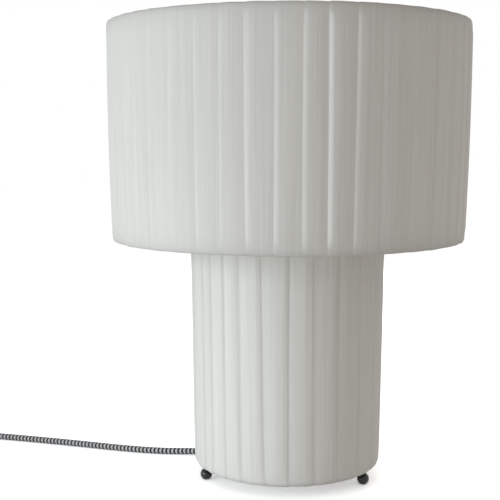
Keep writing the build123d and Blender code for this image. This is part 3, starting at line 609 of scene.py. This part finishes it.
def ivory_cloth(name, crease_shade_strength, crease_shade_focus):
    """Matt woven cloth: fine slubs run down the drum, with a plain weave too fine to see from afar."""
    cloth = Surface(name, {"Sheen Weight": 0.15, "Sheen Roughness": 0.5, "Specular IOR Level": 0.2})
    flat = cloth.laid_flat()
    slub_way = cloth.node("ShaderNodeMapping", sockets={"Vector": flat, "Scale": slub_scale})
    streak_way = cloth.node("ShaderNodeMapping", sockets={"Vector": flat, "Scale": streak_scale})
    slub = cloth.grain(1.0, 3.0, slub_way)
    streak = cloth.grain(1.0, 2.0, streak_way)
    spread, down = cloth.split(flat)[:2]
    weave = maths("SINE", spread * weave_pace) * maths("SINE", down * weave_pace)
    cloth.relief(slub * 0.6 + streak * 0.9 + weave * 0.12, cloth_relief)
    plain = cloth.between(slub * 0.45 + (streak * 0.75 - 0.10), cloth_dark, cloth_light)
    # Painted shade: the colour is drawn darker in the grooves and along the hems, where shade falls.
    crease = maths("POWER", cloth.mark("crease"), crease_shade_focus)
    darker = crease * crease_shade_strength + cloth.mark("hem")
    cloth.feed({
        "Base Color": cloth.between(darker, plain, painted_shade_colour),
        "Roughness": slub.span(0.82, 0.94),
    })
    return cloth


base_cloth = ivory_cloth("ivory base cloth", crease_shade_strength=0.24, crease_shade_focus=1.0)
base_cover = new_piece(
    "base_cover_cloth",
    pleated_cloth(
        base_drum, base_fold, base_front_folds, base_odd_folds, base_pleat_count, way=-1, seed=5),
    base_cloth, "lamp")
base_cover.modifiers.new("thickness", "SOLIDIFY").thickness = cloth_thickness
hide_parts("base_cover")

# Shade cover: the same cloth in narrower knife pleats round the shade drum, each fold lying to
# the left over the one before. It bellies out a little between the rings.
shade_drum = Drum(
    low_ring=ring_of("shade_bottom_ring"), high_ring=ring_of("shade_top_ring"), bow=0.0010, sag=0.0,
    square=0.4, ease=0.008, crown_share=0.20, line_tone=0.42, shade_tone=0.34)
shade_fold = Fold(height=0.0013, nose=0.0052, lip=0.0, fall=1.0, gutter=0.0, slant=0.0)
shade_front_folds = [-44.5, -35.8, -26.9, -19.3, -11.8, -4.0, 4.0, 10.9, 18.8, 26.6, 37.3, 46.7, 55.6]
shade_odd_folds = {
    -26.9: {"rise": 0.50, "plump": 1.0},
    -19.3: {"rise": 0.75, "plump": 0.9},
    10.9: {"rise": 1.6, "plump": 1.0},
    18.8: {"rise": 1.5, "plump": 0.9},
}
shade_pleat_count = 45

shade_cloth = ivory_cloth("ivory shade cloth", crease_shade_strength=0.12, crease_shade_focus=10.0)
shade_cover = new_piece(
    "shade_cover_cloth",
    pleated_cloth(
        shade_drum, shade_fold, shade_front_folds, shade_odd_folds, shade_pleat_count, way=1, seed=11),
    shade_cloth, "lamp")
shade_cover.modifiers.new("thickness", "SOLIDIFY").thickness = cloth_thickness
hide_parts("shade_cover")

# Hub hardware: a threaded nipple through the hub with its washer and nut in bright zinc plate,
# and a moulded grip below that bites on the cord with one slotted screw.
plastic_relief = 0.00005

dress(zinc_plate, "nipple", "hub_washer", "nipple_nut", "grip_screw")

satin_black = Surface("satin black plastic", {"Base Color": (0.018, 0.018, 0.019, 1.0), "IOR": 1.5})
spark_texture = satin_black.grain(2200.0, 1.0)
satin_black.relief(spark_texture, plastic_relief)
satin_black.feed({"Roughness": spark_texture * 0.2 + satin_black.grain(70.0).span(0.28, 0.38)})
dress(satin_black, "cord_grip")

# Lampholder: white moulded cap, shell and clamp ring round a steatite core, with a brass screw
# sleeve and a sprung brass contact. The clamp ring runs on a thread on the shell.
thread_pitch = 0.0025
thread_turns = 7
thread_radius = 0.0194
thread_height = 0.00045
thread_sunk = 0.0003
thread_half_foot = 0.0007
thread_half_crest = 0.0002
thread_start = 0.2797
thread_steps = 48
moulding_relief = 0.00003
steatite_grain = 2600.0
steatite_relief = 0.00006

white_plastic = Surface("white moulded plastic", {"IOR": 1.5})
moulding = white_plastic.grain(1800.0, 1.0)
white_plastic.relief(moulding, moulding_relief)
white_plastic.feed({
    "Base Color": white_plastic.between(
        white_plastic.grain(40.0), (0.86, 0.86, 0.84, 1.0), (0.83, 0.83, 0.80, 1.0)),
    "Roughness": moulding.span(0.25, 0.40),
})
dress(white_plastic, "holder_cap", "holder_shell", "clamp_ring")

steatite = mottled(
    "white steatite", {"Specular IOR Level": 0.4}, scale=steatite_grain,
    colours=[(0.88, 0.87, 0.83, 1.0), (0.78, 0.76, 0.71, 1.0)], roughness=(0.5, 0.7))
steatite.relief(steatite.grain(steatite_grain), steatite_relief)
dress(steatite, "holder_core")

dulled_brass = mottled(
    "dulled brass", {"Metallic": 1.0}, scale=280.0, detail=4.0,
    colours=[(0.78, 0.61, 0.30, 1.0), (0.55, 0.41, 0.20, 1.0)], roughness=(0.18, 0.48))
dress(dulled_brass, "screw_sleeve", "centre_contact", "switch_terminals")

conductor = mottled(
    "brown conductor insulation", {"IOR": 1.45}, scale=500.0,
    colours=[(0.30, 0.17, 0.09, 1.0), (0.24, 0.13, 0.07, 1.0)], roughness=(0.35, 0.55))
dress(conductor, "holder_leads")


def wound_thread(profile, pitch, turns, start):
    """Ridge of a screw thread: a small outline of (radius, height) spun up the lamp's axis."""
    edit = bmesh.new()
    corners = [edit.verts.new((radius, 0.0, start + height)) for radius, height in profile]
    edges = [edit.edges.new(pair) for pair in zip(corners, corners[1:] + corners[:1])]
    first = edit.faces.new(corners)
    bmesh.ops.spin(
        edit, geom=corners + edges + [first], cent=(0.0, 0.0, 0.0), axis=(0.0, 0.0, 1.0),
        dvec=(0.0, 0.0, pitch / thread_steps), angle=2 * math.pi * turns, steps=thread_steps * turns)
    bmesh.ops.recalc_face_normals(edit, faces=edit.faces)
    return edit


shell_profile = [
    (thread_radius - thread_sunk, -thread_half_foot),
    (thread_radius + thread_height, -thread_half_crest),
    (thread_radius + thread_height, thread_half_crest),
    (thread_radius - thread_sunk, thread_half_foot),
]
new_piece(
    "shell_thread", wound_thread(shell_profile, thread_pitch, thread_turns, thread_start),
    white_plastic, "lamp")

# Bulb: a round clear globe on a rolled aluminium screw cap with a black glass insulator. Inside, a
# pressed glass stem carries four yellow coated rods. The cap's rounded thread turns in the sleeve.
bulb_thread_pitch = 0.003629
bulb_thread_turns = 4
bulb_thread_height = 0.0006
bulb_thread_sunk = 0.0001
bulb_thread_half_foot = bulb_thread_pitch * 0.36
bulb_thread_lift = 0.0020
bulb_thread_parts = 6

clear_glass = Surface("clear globe glass", {
    "Base Color": (0.97, 0.97, 0.96, 1.0), "Transmission Weight": 1.0, "IOR": 1.30})
clear_glass.feed({"Roughness": clear_glass.grain(30.0).span(0.01, 0.06)})
dress(clear_glass, "bulb_glass")

pressed_glass = Surface("pressed stem glass", {
    "Base Color": (0.93, 0.94, 0.93, 1.0), "Transmission Weight": 0.9, "IOR": 1.2})
pressed_glass.feed({"Roughness": pressed_glass.grain(300.0).span(0.05, 0.15)})
dress(pressed_glass, "bulb_stem")

rolled_aluminium = mottled(
    "rolled aluminium", {"Metallic": 1.0}, scale=420.0, detail=3.0,
    colours=[(0.76, 0.76, 0.75, 1.0), (0.64, 0.64, 0.63, 1.0)], roughness=(0.22, 0.47))
dress(rolled_aluminium, "bulb_cap", "bulb_contact")

black_glass = Surface("black insulator glass", {"Base Color": (0.015, 0.015, 0.016, 1.0)})
black_glass.feed({"Roughness": black_glass.grain(600.0).span(0.08, 0.28)})
dress(black_glass, "bulb_insulator")

phosphor = mottled(
    "yellow rod coating", {"Specular IOR Level": 0.3}, scale=2500.0,
    colours=[(0.92, 0.72, 0.25, 1.0), (0.84, 0.62, 0.18, 1.0)], roughness=(0.5, 0.7))
dress(phosphor, "bulb_filaments")

cap_low, cap_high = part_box("bulb_cap")
bulb_profile = []
for step in range(bulb_thread_parts + 1):
    bend = math.pi * step / bulb_thread_parts
    bulb_profile.append((
        cap_high.x - bulb_thread_sunk + bulb_thread_height * math.sin(bend),
        -math.cos(bend) * bulb_thread_half_foot,
    ))
bulb_thread_start = cap_low.z + bulb_thread_lift
new_piece(
    "bulb_thread",
    wound_thread(bulb_profile, bulb_thread_pitch, bulb_thread_turns, bulb_thread_start),
    rolled_aluminium, "bulb")

# Cord: a round lead in a black and white braid. It drops through the base from the grip, runs out
# under the rim at the left rear and along the floor to the switch, with slack to spare.
cord_diameter = 0.0068
cord_points = [
    (0.0, 0.0, 0.221472), (0.0, 0.0, 0.172), (0.002, 0.004, 0.118),
    (0.0, 0.011, 0.070), (-0.008, 0.021, 0.034), (-0.029, 0.032, 0.011),
    (-0.058, 0.041, 0.0046), (-0.092, 0.0455, 0.0040), (-0.128, 0.0452, 0.0036),
    (-0.162, 0.0505, 0.0035), (-0.200, 0.061, 0.0035), (-0.245, 0.0744, 0.0035),
    (-0.290, 0.0864, 0.0035), (-0.334, 0.0972, 0.0035), (-0.377, 0.1055, 0.0039),
    (-0.4045, 0.0905, 0.0058), (-0.415, 0.064, 0.008), (-0.415, 0.036, 0.008),
]
cord_sides = 24
cord_detail = 10
braid_black = (0.040, 0.040, 0.045, 1.0)
braid_white = (0.78, 0.78, 0.79, 1.0)
braid_pitch = 0.0043
braid_rows = 2.0
braid_strands = 14.0
braid_lay = 0.0022
braid_relief = 0.00022
crescent_bend = 0.5
crescent_width = 1.7
band_contrast = 7.0
band_cut = 2.9
band_softness = 0.3


def smooth_line(name, points, detail):
    """Points along the smooth curve that a cord's route points steer."""
    curve = bpy.data.curves.new(name, "CURVE")
    curve.dimensions = "3D"
    curve.resolution_u = detail
    spline = curve.splines.new("NURBS")
    spline.points.add(len(points) - 1)
    for knot, place in zip(spline.points, points):
        knot.co = (*place, 1.0)
    spline.order_u = 3
    spline.use_endpoint_u = True
    carrier = bpy.data.objects.new(name, curve)
    drawn = bpy.data.meshes.new_from_object(carrier)
    line = [corner.co.copy() for corner in drawn.vertices]
    bpy.data.meshes.remove(drawn)
    bpy.data.objects.remove(carrier)
    bpy.data.curves.remove(curve)
    return line


def braided_tube(line):
    """Round tube along a line, with its ends closed, and the line's length."""
    rows = len(line) - 1
    ways = []
    for index in range(rows + 1):
        ways.append((line[min(index + 1, rows)] - line[max(index - 1, 0)]).normalized())
    side = ways[0].orthogonal().normalized()
    rings = []
    for index, way in enumerate(ways):
        if index:
            side = ways[index - 1].rotation_difference(way) @ side
        side = (side - way * side.dot(way)).normalized()
        rings.append((side, way.cross(side)))

    def place(column, row):
        """Where one corner of the tube lies."""
        angle = 2 * math.pi * (column % cord_sides) / cord_sides
        first, second = rings[row]
        return line[row] + (first * math.cos(angle) + second * math.sin(angle)) * cord_diameter / 2

    across = [column / cord_sides for column in range(cord_sides + 1)]
    along = lengths_along(line)
    edit = soft_grid(across, along, place, marks={})
    bmesh.ops.holes_fill(edit, edges=[edge for edge in edit.edges if edge.is_boundary], sides=0)
    bmesh.ops.recalc_face_normals(edit, faces=edit.faces)
    return edit, along[-1]


# Light yarn shows in bands that bend into crescents round the cord, over a fine cross of strands.
braid = Surface("black and white braid", {
    "Sheen Weight": 0.2, "Sheen Roughness": 0.4, "Specular IOR Level": 0.25})
round_it, down_it = braid.split(braid.laid_flat())[:2]
crescent = maths("ABSOLUTE", maths("COSINE", round_it * (math.pi * braid_rows)))
band = maths("FRACT", down_it / braid_pitch - crescent * crescent_bend + 1.0)
from_edge = 0.5 - maths("ABSOLUTE", band - 0.5)
light_yarn = from_edge * band_contrast + crescent * crescent_width - band_cut
light_share = maths("MAXIMUM", maths("SMOOTH_MIN", light_yarn, 1.0, band_softness), 0.0)
strand = round_it * (2 * math.pi * braid_strands)
travel = down_it * (2 * math.pi / braid_lay)
yarn = maths("MAXIMUM", maths("SINE", strand + travel), maths("SINE", strand - travel))
fuzz = braid.grain(2400.0)
braid.relief(yarn * 0.8 + fuzz * 0.2, braid_relief)
braid.feed({
    "Base Color": braid.between(
        light_share * (yarn * 0.16 + fuzz.span(0.72, 0.92)), braid_black, braid_white),
    "Roughness": fuzz.span(0.7, 0.9),
})

lead_line = smooth_line("lead_route", cord_points, cord_detail)
lead_edit, lead_length = braided_tube(lead_line)
cord_lead = new_piece("cord_lead_braid", lead_edit, braid, "lamp")
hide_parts("cord_lead")

# Switch: two moulded black shells on the cord, closed from below with two plated screws. A rocker
# between two cheeks works brass terminals inside.
dress(satin_black, "switch_base", "switch_cover", "switch_rocker")
dress(zinc_plate, "switch_screws")

# Spare cord: wound into a neat coil on the floor, two turns in and one and a half out on top,
# and held by a black woven band with a lapped end.
coil_middle = (-0.367, -0.057)
coil_radius = 0.048
coil_pitch = 0.0074
coil_low = 0.0051
coil_high = coil_low + coil_pitch
coil_detail = 7
points_per_turn = 16
turns_in = 2.0
turns_climb = 0.5
turns_out = 1.5
climb_squeeze = 1 / 8
coil_inner = coil_radius - turns_in * coil_pitch
coil_entry = [(-0.415, -0.012, 0.008), (-0.415, -0.0248, 0.008), (-0.4155, -0.040, 0.0062)]
coil_tail = [
    (-0.4145, -0.082, 0.0125), (-0.4165, -0.101, 0.0095),
    (-0.417, -0.1162, 0.007), (-0.417, -0.128, 0.007),
]

# The smooth curve cuts the corners between its route points, so these stand out by this share.
corner_cut = 0.75 + 0.25 * math.cos(2 * math.pi / points_per_turn)


def coil_point(index):
    """Route point of the coil: in on the floor, up at the inner turn and out on top."""
    turn = index / points_per_turn
    radius = coil_radius - turn * coil_pitch
    height = coil_low
    if turn > turns_in:
        climb = min(1.0, (turn - turns_in) / turns_climb)
        radius = coil_inner - coil_pitch * climb_squeeze * math.sin(math.pi * climb)
        height = coil_low + (coil_high - coil_low) * climb
    if turn > turns_in + turns_climb:
        radius = coil_inner + (turn - turns_in - turns_climb) * coil_pitch
    angle = math.pi + 2 * math.pi * turn
    reach = radius / corner_cut
    return (coil_middle[0] + reach * math.cos(angle), coil_middle[1] + reach * math.sin(angle), height)


coil_count = round((turns_in + turns_climb + turns_out) * points_per_turn)
coil_points = coil_entry + [coil_point(index) for index in range(coil_count + 1)] + coil_tail
coil_line = smooth_line("coil_route", coil_points, coil_detail)
coil_edit, coil_length = braided_tube(coil_line)
cord_coil = new_piece("cord_coil_braid", coil_edit, braid, "lamp")
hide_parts("cord_coil")
print("cord lengths, m:", round(lead_length, 4), round(coil_length, 4))

tie_low, tie_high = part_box("coil_tie")
tie_angle = math.radians(-40.0)
tie_middle_radius = (coil_radius + coil_inner) / 2
tie_half_wide = 0.0138
tie_half_tall = 0.0082
tie_half_length = 0.042
tie_square = 4.0
tie_width = 0.010
tie_thickness = 0.0011
tie_start = 0.14
tie_lap = 0.22
tie_lap_from = 0.9
tie_lap_climb = 0.1
tie_lap_clearance = 1.15
tie_around = 56
tie_across = 6
tie_out = Vector((math.cos(tie_angle), math.sin(tie_angle), 0.0))
tie_along = Vector((-math.sin(tie_angle), math.cos(tie_angle), 0.0))
tie_height = (tie_low.z + tie_high.z) / 2
tie_centre = Vector((*coil_middle, tie_height)) + tie_out * tie_middle_radius
tie_lengths = [(2 * column / tie_around - 1) * tie_half_length for column in range(tie_around + 1)]
tie_widths = [(2 * row / tie_across - 1) * tie_width / 2 for row in range(tie_across + 1)]


def tie_outline(share):
    """Point on the band's rounded outline and the way out from it, at a share of a turn."""
    angle = 2 * math.pi * share
    cosine, sine = math.cos(angle), math.sin(angle)
    reach = (abs(cosine) ** tie_square + abs(sine) ** tie_square) ** (-1 / tie_square)
    way = Vector((cosine, sine))
    return Vector((tie_half_wide * reach * cosine, tie_half_tall * reach * sine)), way


def tie_place(column, row):
    """Where one corner of the band lies, with the band's end lifted over its start."""
    turn = column / tie_around * (1 + tie_lap)
    spot, way = tie_outline(turn + tie_start)
    climb = min(1.0, max(0.0, (turn - tie_lap_from) / tie_lap_climb))
    spot = spot + way * (tie_thickness * tie_lap_clearance * climb)
    return tie_centre + tie_out * spot.x + Vector((0.0, 0.0, spot.y)) + tie_along * tie_widths[row]


rib_pace = (7000.0, 5200.0)
tie_relief = 0.0003

woven_band = Surface("black woven band", {"Sheen Weight": 0.3, "Specular IOR Level": 0.2})
length_on_tie, width_on_tie = woven_band.split(woven_band.laid_flat())[:2]
rib = maths("SINE", length_on_tie * rib_pace[0]) * maths("SINE", width_on_tie * rib_pace[1])
nap = woven_band.grain(3000.0)
woven_band.relief(rib * 0.5 + nap * 0.5, tie_relief)
woven_band.feed({
    "Base Color": woven_band.between(nap, (0.016, 0.016, 0.017, 1.0), (0.05, 0.05, 0.052, 1.0)),
    "Roughness": nap.span(0.75, 0.95),
})
coil_tie = new_piece(
    "coil_tie_band", soft_grid(tie_lengths, tie_widths, tie_place, marks={}),
    woven_band, "lamp")
coil_tie.modifiers.new("thickness", "SOLIDIFY").thickness = tie_thickness
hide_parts("coil_tie")

# Plug: a flat two-pin plug moulded on the end of the cord in satin black, with a tapered strain
# relief and round nickel plated pins.
dress(satin_black, "plug_body")
nickel = mottled(
    "nickel plate", {"Metallic": 1.0}, scale=500.0,
    colours=[(0.80, 0.79, 0.76, 1.0), (0.70, 0.69, 0.66, 1.0)], roughness=(0.12, 0.32))
dress(nickel, "plug_pins")
